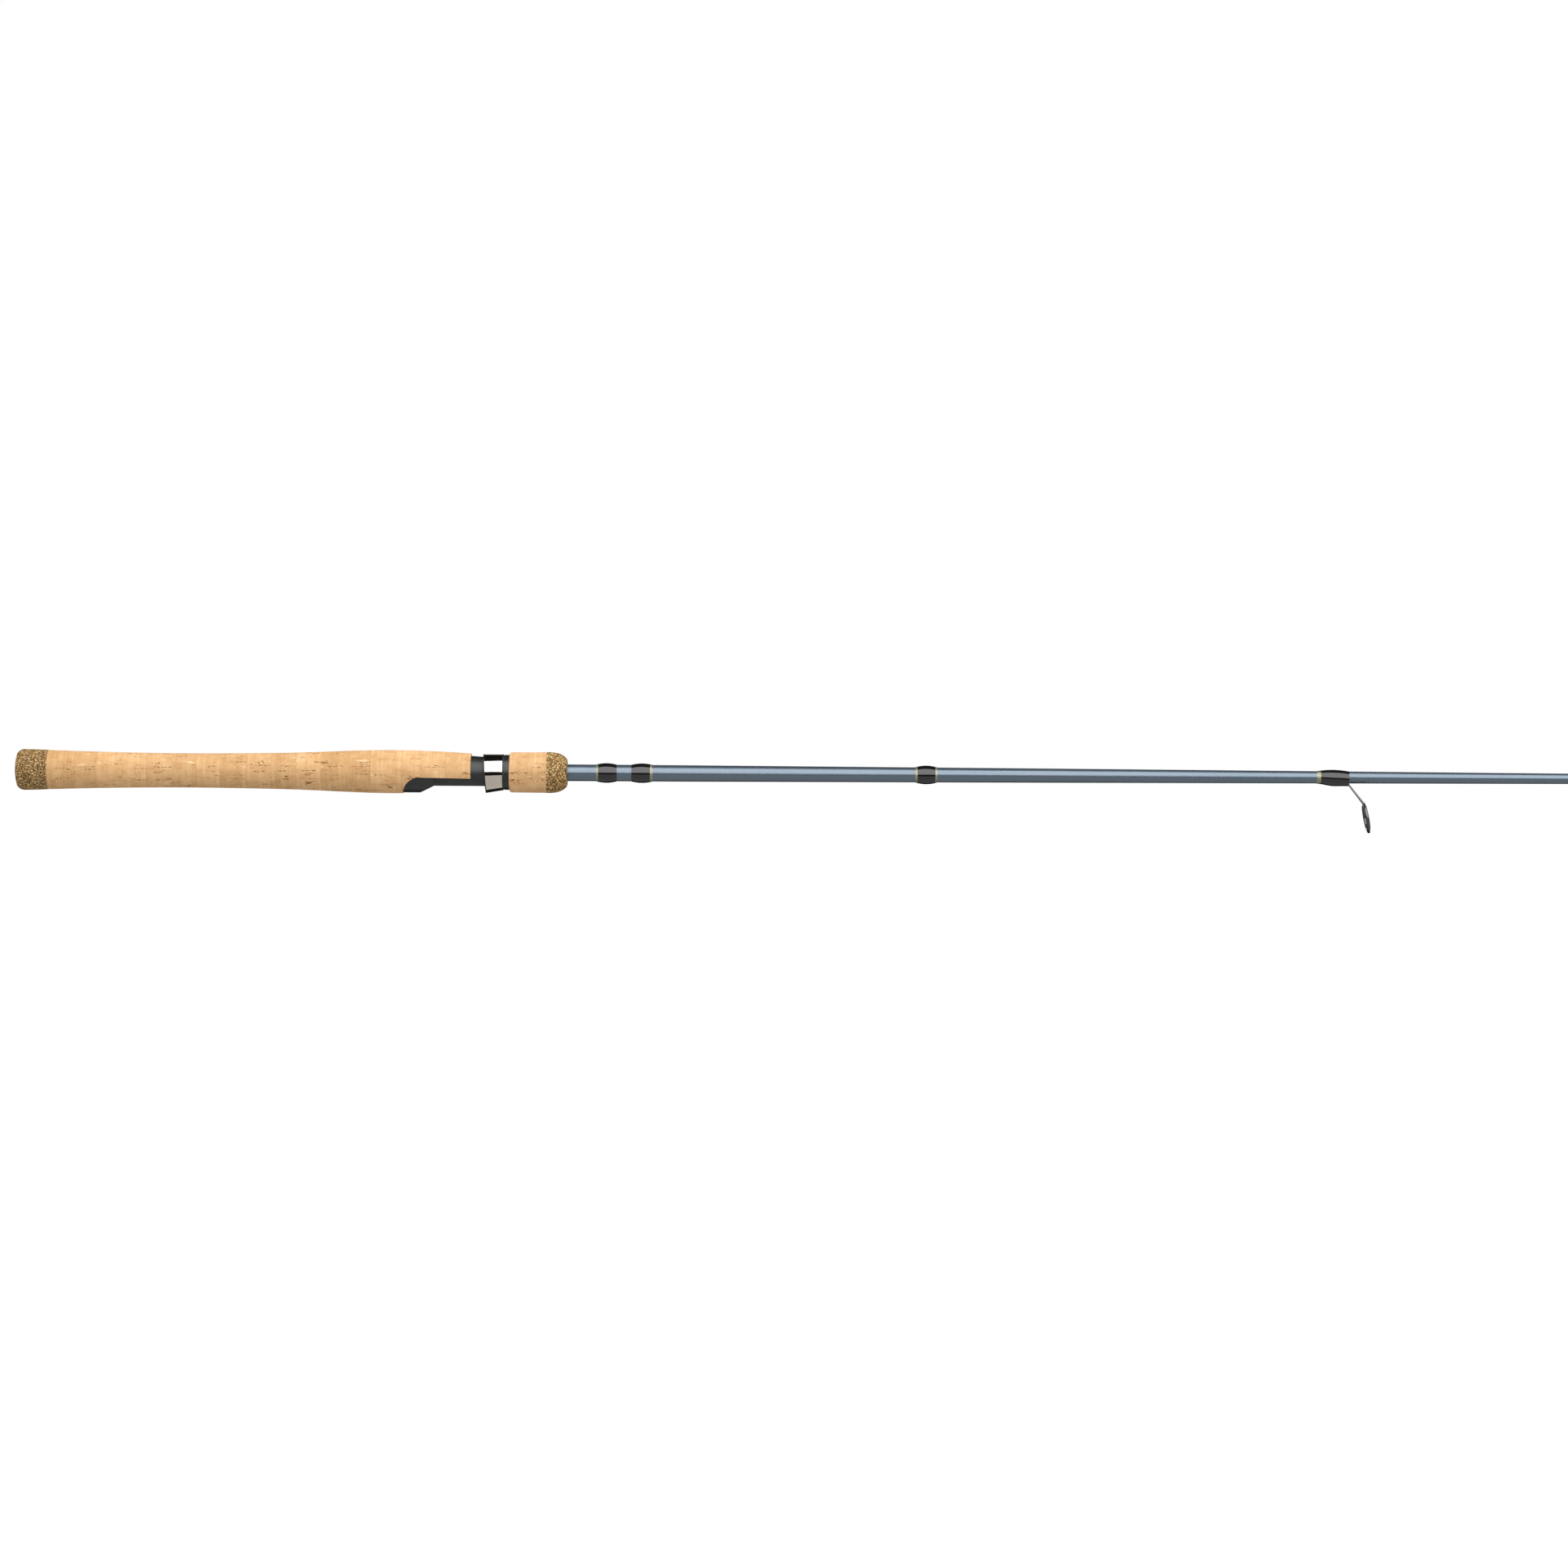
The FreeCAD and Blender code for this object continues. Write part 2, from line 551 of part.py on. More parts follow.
for number, (x, radius, depth, foot) in enumerate(GUIDES, 1):
    stations = BUTT_BLANK if x < TIP_SECTION_START else TIP_BLANK
    frame, insert, thread, trim = make_guide(x, radius, depth, foot, stations)
    save(f"guide_{number}_frame", frame)
    save(f"guide_{number}_ring", insert)
    save(f"guide_{number}_wrap", thread)
    save(f"guide_{number}_trim", trim)

frame, insert, thread, trim = make_tip_top()
save("tip_top_frame", frame)
save("tip_top_ring", insert)
save("tip_top_wrap", thread)
save("tip_top_trim", trim)
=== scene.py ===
"""Looks of the spinning rod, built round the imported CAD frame.

Lengths are in millimetres, except where a comment says metres."""

import math

import bmesh
import bpy
import numpy as np
from mathutils import Euler, Matrix, Vector


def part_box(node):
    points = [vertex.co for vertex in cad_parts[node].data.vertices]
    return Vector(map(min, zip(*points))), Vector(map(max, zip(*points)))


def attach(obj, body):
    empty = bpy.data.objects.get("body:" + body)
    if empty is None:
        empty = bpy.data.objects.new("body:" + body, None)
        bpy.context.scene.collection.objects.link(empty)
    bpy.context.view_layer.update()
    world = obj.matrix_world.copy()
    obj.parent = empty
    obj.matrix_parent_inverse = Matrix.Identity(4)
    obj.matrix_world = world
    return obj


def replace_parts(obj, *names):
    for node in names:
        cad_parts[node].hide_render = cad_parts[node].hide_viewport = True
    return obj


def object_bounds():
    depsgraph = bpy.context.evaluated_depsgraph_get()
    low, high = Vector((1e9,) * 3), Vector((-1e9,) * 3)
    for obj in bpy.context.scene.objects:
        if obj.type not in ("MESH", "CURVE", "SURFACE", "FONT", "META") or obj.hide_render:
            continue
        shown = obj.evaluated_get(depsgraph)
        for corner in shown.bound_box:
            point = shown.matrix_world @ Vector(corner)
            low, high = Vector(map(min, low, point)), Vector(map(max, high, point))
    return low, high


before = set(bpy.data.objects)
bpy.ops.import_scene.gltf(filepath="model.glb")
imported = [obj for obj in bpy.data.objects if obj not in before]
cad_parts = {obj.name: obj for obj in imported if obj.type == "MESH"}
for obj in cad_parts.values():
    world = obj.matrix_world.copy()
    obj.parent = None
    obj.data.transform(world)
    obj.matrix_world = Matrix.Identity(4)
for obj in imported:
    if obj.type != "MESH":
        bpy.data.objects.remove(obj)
CAD_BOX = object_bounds()
MM = 0.001
SEED = 7

# ---- driving sizes ------------------------------------------------------------------
GRIP_RINGS = 17
FORE_RINGS = 2
GUIDE_COUNT = 7
SEAT_RADIUS = 10.8
NUT_RADIUS = 10.4

# butt cap: its blind hole; nose of the foregrip: its bore and the chamfer at its mouth
CAP_HOLE_RADIUS = 6.0
CAP_HOLE_END = 8.0
NOSE_BORE = 6.7
NOSE_CHAMFER = 0.8

# the opening under the rear grip, in the plane of the rod: three points of the curve
# that rises from the grip's underside to the flat roof, and the roof's far end
CUT_CURVE = ((256.6, -14.6), (259.7, -7.4), (269.0, -3.9))
CUT_FAR_END = (301.5, -4.4)
UNCUT = -99.0

# fineness of the turned meshes: points round them and the longest step along them
AROUND_CORK = 288
AROUND_BLANK = 128
CORK_STEP = 0.36
CAP_STEP = 0.4
WRAP_STEP = 0.4
BLANK_STEP = 20.0

# cork: rows close to a ring's ends, its end walls' steps and the groove glued joints leave
RIM_ROW = 0.08
RIM_INSET = 0.25
WALL_STEPS = 6
JOINT_GROOVE = 0.02
JOINT_STAIN = 0.22

# cork: how many runs of lenticels and clusters of pits a ring has, and how deep they are
LENTICEL_RUNS = (7, 15)
LENTICEL_DEPTH = 0.10
PIT_CLUSTERS = (1, 4)
PITS_IN_CLUSTER = (4, 14)
PIT_DEPTH = 0.22
MARK_WOBBLE = 0.12

# spacing of the thread's windings
THREAD_PITCH = 0.32

# rounding of the edges of pieces that keep their CAD meshes
MOULDED_EDGE = 0.22
NUT_EDGE = 0.15
GUIDE_EDGE = 0.16
SMALL_EDGE = 0.12

# light, in metres: share of the surroundings' light for matt and for shiny surfaces, and
# panels as (name, height in degrees, side, distance, panel height, radiance, matt, shiny)
FILL_STRENGTH = 0.62
MIRRORED_STRENGTH = 0.012
FRONT, BEHIND = -1, 1
PANEL_LENGTH = 7.0
PANELS = [("key_gloss", 40.5, FRONT, 1.5, 2.22, 3.7, False, True),
          ("low_gloss", -67.0, FRONT, 1.2, 2.67, 0.66, False, True),
          ("back_gloss", 14.0, BEHIND, 1.5, 0.7, 0.9, False, True),
          ("key_soft", 55.0, FRONT, 1.5, 2.34, 1.36, True, False)]
FLOOR_HALF = 14.0
FLOOR_DROP = 0.45

# camera, in metres: how far it stands, the width it sees at the rod, its aim and its roll
CAMERA_DISTANCE = 3.5
SEEN_WIDTH = 1.037
CAMERA_AIM = (0.5083, 0.0, -0.0066)
CAMERA_ROLL = math.radians(0.35)
SENSOR_WIDTH = 36.0


# ---- reading the frame --------------------------------------------------------------
def node_points(node):
    """Vertices of a CAD node at rest, in millimetres."""
    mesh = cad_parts[node].data
    points = np.empty(len(mesh.vertices) * 3)
    mesh.vertices.foreach_get("co", points)
    return points.reshape(-1, 3) / MM


def outline(node, outer=True):
    """Outside (or bore) of a turned CAD node: stations along the rod and the radius at each."""
    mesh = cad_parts[node].data
    points = node_points(node)
    corners = np.empty(len(mesh.loops), dtype=np.int64)
    mesh.loops.foreach_get("vertex_index", corners)
    corners = corners.reshape(-1, 3)
    normals = np.empty(len(mesh.polygons) * 3)
    mesh.polygons.foreach_get("normal", normals)
    normals = normals.reshape(-1, 3)
    centres = points[corners].mean(axis=1)
    away = normals[:, 1] * centres[:, 1] + normals[:, 2] * centres[:, 2]
    away /= np.hypot(centres[:, 1], centres[:, 2])
    wanted = (away > 0.01) if outer else (away < -0.01)
    used = points[np.unique(corners[wanted & (centres[:, 2] > 0)])]
    stations = np.round(used[:, 0], 2)
    radius = np.hypot(used[:, 1], used[:, 2])
    pick = np.max if outer else np.min
    xs = np.unique(stations)
    return xs, np.array([pick(radius[stations == x]) for x in xs])


def span(node):
    """First and last station of a CAD node."""
    low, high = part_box(node)
    return low[0] / MM, high[0] / MM


def resample(xs, rs, step):
    """Points along an outline no further apart than the step, its own corners kept."""
    out_x, out_r = [xs[0]], [rs[0]]
    for x0, r0, x1, r1 in zip(xs, rs, xs[1:], rs[1:]):
        count = max(1, math.ceil(math.hypot(x1 - x0, r1 - r0) / step))
        for k in range(1, count + 1):
            out_x.append(x0 + (x1 - x0) * k / count)
            out_r.append(r0 + (r1 - r0) * k / count)
    return np.array(out_x), np.array(out_r)


# ---- mesh helpers -------------------------------------------------------------------
def mesh_object(name, vertices, faces, material, body, attributes=None, smooth_angle=35.0):
    """Object from vertices in millimetres, shaded smooth except at edges sharper than the angle."""
    mesh = bpy.data.meshes.new(name)
    mesh.from_pydata([tuple(v) for v in np.asarray(vertices) * MM], [], faces)
    for key, values in (attributes or {}).items():
        layer = mesh.attributes.new(key, "FLOAT", "POINT")
        layer.data.foreach_set("value", np.asarray(values, dtype=np.float32))
    work = bmesh.new()
    work.from_mesh(mesh)
    bmesh.ops.remove_doubles(work, verts=work.verts, dist=1e-7)
    bmesh.ops.recalc_face_normals(work, faces=work.faces)
    for face in work.faces:
        face.smooth = True
    limit = math.radians(smooth_angle)
    for edge in work.edges:
        edge.smooth = len(edge.link_faces) == 2 and edge.calc_face_angle(0.0) < limit
    work.to_mesh(mesh)
    work.free()
    obj = bpy.data.objects.new(name, mesh)
    bpy.context.scene.collection.objects.link(obj)
    obj.data.materials.append(material)
    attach(obj, body)
    return obj


def grid_faces(rows, columns, close_rows=True):
    """Quads of a grid of points whose columns, and rows if asked, close on themselves."""
    faces = []
    last = rows if close_rows else rows - 1
    for i in range(last):
        a, b = i * columns, ((i + 1) % rows) * columns
        for j in range(columns):
            k = (j + 1) % columns
            faces.append((a + j, a + k, b + k, b + j))
    return faces


def turned(name, rows, around, material, body, close=True, tone=0.5):
    """Turned piece from rows (station, radius), the last row joined to the first if it closes."""
    stations, radii = np.array(rows).T
    angle = np.arange(around) * 2 * math.pi / around
    x = np.repeat(stations, around)
    y = (radii[:, None] * np.sin(angle)[None, :]).ravel()
    z = (radii[:, None] * np.cos(angle)[None, :]).ravel()
    vertices = np.stack([x, y, z], axis=1)
    faces = grid_faces(len(rows), around, close)
    tones = np.full(len(vertices), tone)
    return mesh_object(name, vertices, faces, material, body, {"tone": tones})


def turned_from_frame(name, node, step, material, body):
    """Smooth copy of a hollow turned CAD node."""
    xs, rs = resample(*outline(node), step)
    inner_x, inner_r = outline(node, outer=False)
    rows = list(zip(xs, rs)) + list(zip(inner_x[::-1], inner_r[::-1]))
    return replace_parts(turned(name, rows, AROUND_BLANK, material, body), node)


# ---- material helpers ---------------------------------------------------------------
class Shader:
    """A node material with a Principled shader, and a short way to add and join nodes."""

    def __init__(self, name):
        self.material = bpy.data.materials.new(name)
        self.material.use_nodes = True
        self.tree = self.material.node_tree
        self.surface = self.tree.nodes["Principled BSDF"]

    def join(self, socket, value):
        if isinstance(value, bpy.types.NodeSocket):
            self.tree.links.new(value, socket)
        else:
            socket.default_value = value

    def add(self, kind, inputs=None, **settings):
        node = self.tree.nodes.new("ShaderNode" + kind)
        for key, value in settings.items():
            setattr(node, key, value)
        for key, value in (inputs or {}).items():
            self.join(node.inputs[key], value)
        return node

    def set(self, **values):
        for key, value in values.items():
            self.join(self.surface.inputs[key.replace("_", " ")], value)

    def coordinates(self, scale, offset=None):
        """Object coordinates stretched by the scale, per metre."""
        vector = self.add("TexCoord").outputs["Object"]
        if offset is not None:
            vector = self.add("VectorMath", {0: vector, 1: offset}, operation="ADD").outputs[0]
        return self.add("VectorMath", {0: vector, 1: scale}, operation="MULTIPLY").outputs[0]

    def noise(self, vector, detail=2.0, roughness=0.5, distortion=0.0):
        inputs = {"Vector": vector, "Scale": 1.0, "Detail": detail, "Roughness": roughness,
                  "Distortion": distortion}
        return self.add("TexNoise", inputs).outputs["Fac"]

    def ramp(self, value, stops):
        node = self.add("ValToRGB", {"Fac": value})
        elements = node.color_ramp.elements
        while len(elements) < len(stops):
            elements.new(0.5)
        for element, (position, color) in zip(elements, stops):
            element.position = position
            element.color = tuple(color) + (1.0,) if len(color) == 3 else color
        return node.outputs["Color"]

    def grey(self, value, low, high, out_low=0.0, out_high=1.0):
        inputs = {"Value": value, "From Min": low, "From Max": high, "To Min": out_low, "To Max": out_high}
        return self.add("MapRange", inputs).outputs["Result"]

    def math(self, operation, a, b=0.0):
        return self.add("Math", {0: a, 1: b}, operation=operation).outputs[0]

    def mix(self, factor, a, b, blend="MIX"):
        node = self.add("Mix", data_type="RGBA", blend_type=blend)
        self.join(node.inputs[0], factor)
        self.join(node.inputs[6], a if isinstance(a, bpy.types.NodeSocket) else tuple(a) + (1.0,))
        self.join(node.inputs[7], b if isinstance(b, bpy.types.NodeSocket) else tuple(b) + (1.0,))
        return node.outputs[2]

    def bump(self, height, strength, distance):
        inputs = {"Height": height, "Strength": strength, "Distance": distance * MM}
        self.join(self.surface.inputs["Normal"], self.add("Bump", inputs).outputs["Normal"])


# ---- materials ----------------------------------------------------------------------
def cork_material():
    """Sanded natural cork: warm mottling, growth lines across, lenticels along and pits."""
    s = Shader("natural_cork")
    tone = s.add("Attribute", attribute_name="tone").outputs["Fac"]
    stain = s.add("Attribute", attribute_name="stain").outputs["Fac"]
    across, up = s.math("MULTIPLY", tone, 3.7), s.math("MULTIPLY", tone, 7.3)
    shift = s.add("CombineXYZ", {0: tone, 1: across, 2: up}).outputs[0]
    mottle = s.noise(s.coordinates((95, 150, 150), shift), 4.0, 0.62)
    growth = s.noise(s.coordinates((480, 30, 30), shift), 3.0, 0.6, 0.5)
    grain = s.noise(s.coordinates((800, 1100, 1100), shift), 3.0, 0.65)
    streak = s.noise(s.coordinates((75, 560, 560), shift), 3.0, 0.55, 0.6)
    patch = s.noise(s.coordinates((90, 120, 120), shift), 1.0)
    color = s.ramp(mottle, [(0.30, (0.55, 0.300, 0.120)), (0.50, (0.68, 0.405, 0.185)),
                            (0.72, (0.77, 0.490, 0.250))])
    color = s.mix(s.grey(growth, 0.38, 0.70, 0.0, 0.55), color, (0.545, 0.290, 0.110))
    color = s.mix(s.grey(growth, 0.42, 0.28, 0.0, 0.35), color, (0.84, 0.570, 0.320))
    color = s.mix(s.grey(grain, 0.40, 0.75, 0.0, 0.35), color, (0.84, 0.58, 0.33))
    tint = s.ramp(tone, [(0.0, (0.87, 0.83, 0.76)), (0.5, (0.99, 0.98, 0.96)), (1.0, (1.07, 1.06, 1.06))])
    color = s.mix(1.0, color, tint, "MULTIPLY")
    light_line = s.math("MULTIPLY", s.grey(streak, 0.36, 0.30), s.grey(patch, 0.40, 0.52))
    color = s.mix(s.math("MULTIPLY", light_line, 0.7), color, (0.92, 0.70, 0.42))
    dark_line = s.math("MULTIPLY", s.grey(streak, 0.645, 0.70), s.grey(patch, 0.42, 0.54))
    color = s.mix(s.math("MULTIPLY", dark_line, 0.72), color, (0.25, 0.110, 0.030))
    speck = s.add("TexVoronoi", {"Vector": s.coordinates((1000, 1250, 1250), shift), "Scale": 1.0},
                  feature="F1").outputs["Distance"]
    speck = s.math("MULTIPLY", s.grey(speck, 0.28, 0.12), s.grey(patch, 0.56, 0.64))
    color = s.mix(s.math("MULTIPLY", speck, 0.75), color, (0.20, 0.090, 0.025))
    flake = s.noise(s.coordinates((1400, 1400, 1400), shift), 1.0)
    pit = s.mix(s.grey(flake, 0.42, 0.66), (0.090, 0.036, 0.009), (0.42, 0.215, 0.060))
    color = s.mix(s.math("MINIMUM", s.math("MULTIPLY", stain, 1.25), 1.0), color, pit)
    s.set(Base_Color=color, Roughness=0.72)
    s.surface.inputs["Specular IOR Level"].default_value = 0.15
    height = s.math("SUBTRACT", s.math("MULTIPLY", grain, 0.25), s.math("ADD", dark_line, speck))
    s.bump(height, 0.5, 0.12)
    return s.material


def burl_material():
    """Rubberised cork: pressed granules from near black to pale cork."""
    s = Shader("rubberised_cork")
    tone = s.add("Attribute", attribute_name="tone").outputs["Fac"]
    wobble = s.add("TexNoise", {"Vector": s.coordinates((1800, 1800, 1800)), "Scale": 1.0, "Detail": 2.0})
    base = s.coordinates((1750, 1950, 1950))
    shift = s.add("VectorMath", {0: wobble.outputs["Color"], 1: (1.1, 1.1, 1.1)}, operation="MULTIPLY")
    vector = s.add("VectorMath", {0: base, 1: shift.outputs[0]}, operation="ADD").outputs[0]
    grain = s.add("TexVoronoi", {"Vector": vector, "Scale": 1.0}, feature="F1")
    pick = s.add("SeparateColor", {0: grain.outputs["Color"]}).outputs[0]
    color = s.ramp(pick, [(0.0, (0.022, 0.009, 0.003)), (0.30, (0.080, 0.036, 0.010)),
                          (0.55, (0.25, 0.135, 0.038)), (0.80, (0.52, 0.315, 0.105)),
                          (0.98, (1.0, 0.82, 0.46))])
    rim = s.grey(grain.outputs["Distance"], 0.32, 0.66)
    color = s.mix(s.math("MULTIPLY", rim, 0.5), color, (0.07, 0.030, 0.009))
    fine = s.noise(s.coordinates((3000, 3000, 3000)), 2.0)
    color = s.mix(s.grey(fine, 0.5, 0.75, 0.0, 0.4), color, (0.55, 0.33, 0.11))
    tint = s.ramp(tone, [(0.0, (0.88, 0.86, 0.80)), (1.0, (1.22, 1.16, 1.02))])
    color = s.mix(1.0, color, tint, "MULTIPLY")
    s.set(Base_Color=color, Roughness=0.7)
    s.surface.inputs["Specular IOR Level"].default_value = 0.15
    s.bump(s.math("SUBTRACT", s.math("MULTIPLY", fine, 0.4), rim), 0.5, 0.12)
    return s.material


def blank_material():
    """Slate-blue metallic paint with fine flake, under a clear gloss coat."""
    s = Shader("slate_blue_blank")
    flake = s.add("TexVoronoi", {"Vector": s.coordinates((9000, 9000, 9000)), "Scale": 1.0}, feature="F1")
    pick = s.add("SeparateColor", {0: flake.outputs["Color"]}).outputs[0]
    color = s.ramp(pick, [(0.0, (0.084, 0.114, 0.148)), (0.7, (0.103, 0.138, 0.175)),
                          (1.0, (0.128, 0.168, 0.208))])
    cloud = s.noise(s.coordinates((14, 60, 60)), 3.0)
    color = s.mix(s.grey(cloud, 0.3, 0.7, 0.0, 0.3), color, (0.077, 0.105, 0.138))
    s.set(Base_Color=color, Roughness=s.grey(pick, 0.0, 1.0, 0.31, 0.35))
    s.surface.inputs["Metallic"].default_value = 0.6
    s.surface.inputs["Coat Weight"].default_value = 0.6
    s.surface.inputs["Coat Roughness"].default_value = 0.05
    return s.material


def thread_material(name, dark, light, metallic):
    """Close windings of thread seen through a smooth, glossy epoxy coat, with painted shade in the grooves
    between windings.
    """
    s = Shader(name)
    across = s.add("SeparateXYZ", {0: s.add("TexCoord").outputs["Object"]}).outputs[0]
    phase = s.math("MULTIPLY", across, 2 * math.pi / (THREAD_PITCH * MM))
    winding = s.grey(s.math("SINE", phase), -1.0, 1.0)
    fray = s.noise(s.coordinates((2500, 500, 500)), 2.0)
    # painted shade: between windings the colour falls to the first colour; on each crest it rises to the
    # thread's own colour, less far in random patches
    color = s.mix(s.math("MULTIPLY", winding, s.grey(fray, 0.25, 0.8, 0.4, 1.0)), dark, light)
    s.set(Base_Color=color, Roughness=0.5)
    s.surface.inputs["Metallic"].default_value = metallic
    s.surface.inputs["Specular IOR Level"].default_value = 0.05
    s.surface.inputs["Coat Weight"].default_value = 1.0
    s.surface.inputs["Coat Roughness"].default_value = 0.02
    s.surface.inputs["Coat IOR"].default_value = 1.53
    s.bump(winding, 0.25, 0.05)
    return s.material


def moulded_material(name, color, roughness):
    """Moulded nylon with a fine satin texture and faint handling marks."""
    s = Shader(name)
    fine = s.noise(s.coordinates((3200, 3200, 3200)), 3.0, 0.6)
    smear = s.noise(s.coordinates((120, 260, 260)), 3.0, 0.6)
    lighter = tuple(c * 1.7 + 0.004 for c in color)
    s.set(Base_Color=s.mix(s.grey(smear, 0.35, 0.75), color, lighter),
          Roughness=s.grey(smear, 0.3, 0.7, roughness - 0.05, roughness + 0.08))
    s.surface.inputs["Specular IOR Level"].default_value = 0.38
    s.bump(fine, 0.22, 0.05)
    return s.material


def metal_material(name, color, roughness, grain_scale):
    """Polished metal with faint turning lines and small wear."""
    s = Shader(name)
    lines = s.noise(s.coordinates(grain_scale), 2.0, 0.6)
    smudge = s.noise(s.coordinates((150, 150, 150)), 3.0, 0.6)
    darker = tuple(c * 0.86 for c in color)
    s.set(Base_Color=s.mix(s.grey(smudge, 0.4, 0.75, 0.0, 0.6), color, darker),
          Roughness=s.grey(smudge, 0.3, 0.75, roughness, roughness + 0.08))
    s.surface.inputs["Metallic"].default_value = 1.0
    s.bump(lines, 0.05, 0.02)
    return s.material


def ceramic_material():
    """Polished dark ceramic of the guide rings."""
    s = Shader("ring_ceramic")
    cloud = s.noise(s.coordinates((500, 500, 500)), 2.0)
    s.set(Base_Color=s.ramp(cloud, [(0.3, (0.018, 0.018, 0.020)), (0.7, (0.045, 0.045, 0.050))]),
          Roughness=s.grey(cloud, 0.3, 0.7, 0.08, 0.14))
    s.surface.inputs["Coat Weight"].default_value = 0.6
    return s.material


def foam_material():
    """Pale rigid foam of the arbors, with open cells."""
    s = Shader("arbor_foam")
    cells = s.add("TexVoronoi", {"Vector": s.coordinates((2200, 2200, 2200)), "Scale": 1.0}, feature="F1")
    distance = cells.outputs["Distance"]
    color = s.ramp(distance, [(0.1, (0.36, 0.34, 0.29)), (0.6, (0.68, 0.66, 0.60))])
    s.set(Base_Color=color, Roughness=0.9)
    s.bump(distance, 0.4, 0.1)
    return s.material


CORK = cork_material()
BURL = burl_material()
BLANK = blank_material()
# threads: the first colour is painted shade for the grooves between windings, the second is the thread's
# own colour
BLACK_THREAD = thread_material("black_thread", (0.0025, 0.0025, 0.0025), (0.010, 0.010, 0.011), 0.0)
TRIM_THREAD = thread_material("pale_gold_thread", (0.115, 0.11, 0.06), (0.40, 0.395, 0.27), 0.6)
SEAT_BLACK = moulded_material("seat_nylon", (0.012, 0.012, 0.012), 0.36)
NUT_BLACK = moulded_material("nut_nylon", (0.010, 0.010, 0.011), 0.30)
WASHER_BLACK = moulded_material("washer_acetal", (0.03, 0.03, 0.032), 0.4)
BAND_METAL = metal_material("band_metal", (0.60, 0.54, 0.46), 0.05, (4000, 60, 60))
GUIDE_METAL = metal_material("guide_metal", (0.105, 0.100, 0.096), 0.27, (900, 900, 900))
CERAMIC = ceramic_material()
FOAM = foam_material()


# ---- cork ---------------------------------------------------------------------------
def circle_through(a, b, c):
    """Centre and radius of the circle through three points."""
    a, b, c = np.array(a), np.array(b), np.array(c)
    centre = np.linalg.solve(2 * np.array([b - a, c - a]), np.array([b @ b - a @ a, c @ c - a @ a]))
    return centre, math.hypot(*(a - centre))


CUT_CENTRE, CUT_RADIUS = circle_through(*CUT_CURVE)


def roof_height(x):
    """Height of the cork's lower edge over the reel seat, at station x."""
    if x < CUT_CURVE[0][0]:
        return UNCUT
    if x < CUT_CURVE[2][0]:
        return CUT_CENTRE[1] + math.sqrt(max(0.0, CUT_RADIUS ** 2 - (x - CUT_CENTRE[0]) ** 2))
    share = (x - CUT_CURVE[2][0]) / (CUT_FAR_END[0] - CUT_CURVE[2][0])
    return CUT_CURVE[2][1] + (CUT_FAR_END[1] - CUT_CURVE[2][1]) * share


def cork_marks(rng, x0, x1, girth):
    """Lenticels and pits of one ring: (station, place round, half length, half width, depth, strength)."""
    marks = []
    for _ in range(rng.randint(*LENTICEL_RUNS)):
        s = rng.uniform(0, girth)
        x = rng.uniform(x0 + 0.5, x1 - 3)
        end = min(x1 - 0.6, x + rng.uniform(2.5, 13.0))
        while x < end:
            half = rng.uniform(0.3, 1.5)
            marks.append((x + half, s + rng.normal(0, 0.17), half, rng.uniform(0.17, 0.32),
                          LENTICEL_DEPTH, rng.uniform(0.35, 1.0)))
            x += 2 * half + rng.uniform(0.1, 1.3)
    for _ in range(rng.randint(*PIT_CLUSTERS)):
        cx, cs = rng.uniform(x0 + 2.5, x1 - 2.5), rng.uniform(0, girth)
        spread = rng.uniform(1.0, 3.2)
        for _ in range(rng.randint(*PITS_IN_CLUSTER)):
            size = rng.uniform(0.2, 0.5)
            marks.append((cx + rng.normal(0, spread), cs + rng.normal(0, 0.7),
                          size * rng.uniform(0.8, 2.2), size, PIT_DEPTH, rng.uniform(0.5, 1.0)))
    return marks


def mark_field(marks, x, s, girth):
    """How strongly, and how deep, the marks of a ring reach each point of its outside."""
    stain = np.zeros_like(x)
    depth = np.zeros_like(x)
    for cx, cs, half, width, deep, strength in marks:
        ds = (s - cs + girth / 2) % girth - girth / 2
        ds = ds + MARK_WOBBLE * np.sin((x - cx) * 1.3 + cs)
        reach = ((x - cx) / half) ** 2 + (ds / width) ** 2
        inside = np.clip(1.35 - reach, 0.0, 1.0)
        stain = np.maximum(stain, strength * np.minimum(1.0, inside * 1.6))
        depth = np.maximum(depth, deep * inside)
    return stain, depth


def wall_path(last, middle, low):
    """Points of the cut's wall, from the end of the outside by the middle to the bore."""
    path = []
    for k in range(1, WALL_STEPS):
        t = 2 * k / WALL_STEPS
        a, b, u = (last, middle, t) if t < 1 else (middle, low, t - 1)
        path.append(tuple(a[i] + (b[i] - a[i]) * u for i in range(3)))
    return path


